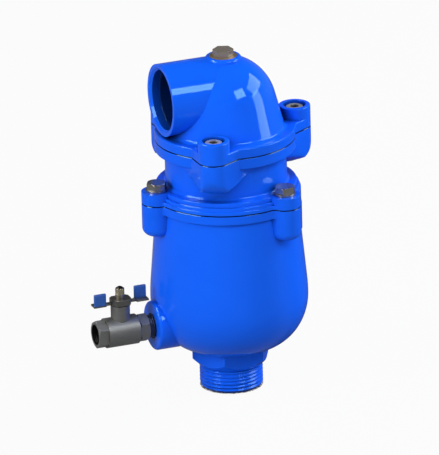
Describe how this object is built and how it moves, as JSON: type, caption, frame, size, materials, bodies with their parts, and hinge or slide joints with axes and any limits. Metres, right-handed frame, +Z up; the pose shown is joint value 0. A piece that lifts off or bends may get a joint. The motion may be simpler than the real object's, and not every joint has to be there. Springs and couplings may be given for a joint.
{
  "type": "air release valve",
  "caption": "Combination air valve with a threaded inlet below, bowl with float, bolted cover and hood, side outlet elbow, top plug and a lever drain valve on the bowl.",
  "frame": {"origin": "centre of the inlet spigot's lower face, on the valve's axis", "axes": "+Z up along the valve's axis; -X along the outlet elbow and the drain valve; the picture looks from -Y, turned about 21 degrees towards -X"},
  "size_m": [0.222, 0.1512, 0.3334],
  "materials": {
    "blue_epoxy": "gloss fusion-bonded epoxy over ductile iron",
    "bolt_steel": "stainless fasteners",
    "screw_steel": "socket screws, satin",
    "bronze_washer": "bronze sealing washer",
    "plug_steel": "stainless plug, turned and milled",
    "seal_rubber": "black EPDM",
    "guide_steel": "cast stainless",
    "bush_ptfe": "white PTFE",
    "seat_bronze": "machined bronze",
    "cage_steel": "stainless",
    "plug_acetal": "acetal, turned",
    "nozzle_brass": "turned brass",
    "float_steel": "drawn and welded stainless",
    "valve_nickel": "nickel-plated forged brass",
    "ball_chrome": "chromed ball",
    "handle_steel": "pressed plate, zinc plated",
    "sleeve_blue": "blue dipped plastic"
  },
  "bodies": {
    "casing": {"valve_body": "blue_epoxy", "cover": "blue_epoxy", "hood": "blue_epoxy", "flange_bolts": "bolt_steel", "flange_washers": "bolt_steel", "hood_screws": "screw_steel", "top_plug": "plug_steel", "top_plug_washer": "bronze_washer", "body_o_ring": "seal_rubber", "hood_o_ring": "seal_rubber", "guide_spider": "guide_steel", "guide_bush": "bush_ptfe", "seat_ring": "seat_bronze", "seat_seal": "seal_rubber", "plug_cage": "cage_steel", "drain_barrel": "valve_nickel", "drain_connector": "valve_nickel", "ball_seats": "bush_ptfe", "stem_packing": "bush_ptfe", "gland_nut": "valve_nickel"},
    "large_orifice_plug": {"kinetic_plug": "plug_acetal", "nozzle": "nozzle_brass"},
    "float": {"float_upper_shell": "float_steel", "float_lower_shell": "float_steel", "float_rod": "float_steel", "rod_nut": "bolt_steel", "nozzle_seal": "seal_rubber"},
    "drain_handle": {"drain_ball": "ball_chrome", "drain_stem": "valve_nickel", "handle_plate": "handle_steel", "handle_sleeves": "sleeve_blue", "handle_nut": "bolt_steel"}
  },
  "joints": [
    {"name": "plug_lift", "type": "slide", "parent": "casing", "child": "large_orifice_plug", "axis": [0, 0, 1], "range_m": [0, 0.018]},
    {"name": "float_close", "type": "slide", "parent": "large_orifice_plug", "child": "float", "axis": [0, 0, 1], "range_m": [0, 0.004]},
    {"name": "drain_valve_turn", "type": "hinge", "parent": "casing", "child": "drain_handle", "pos_m": [-0.1096, 0, 0.07], "axis": [0, 0, 1], "range_deg": [-90, 0]}
  ]
}
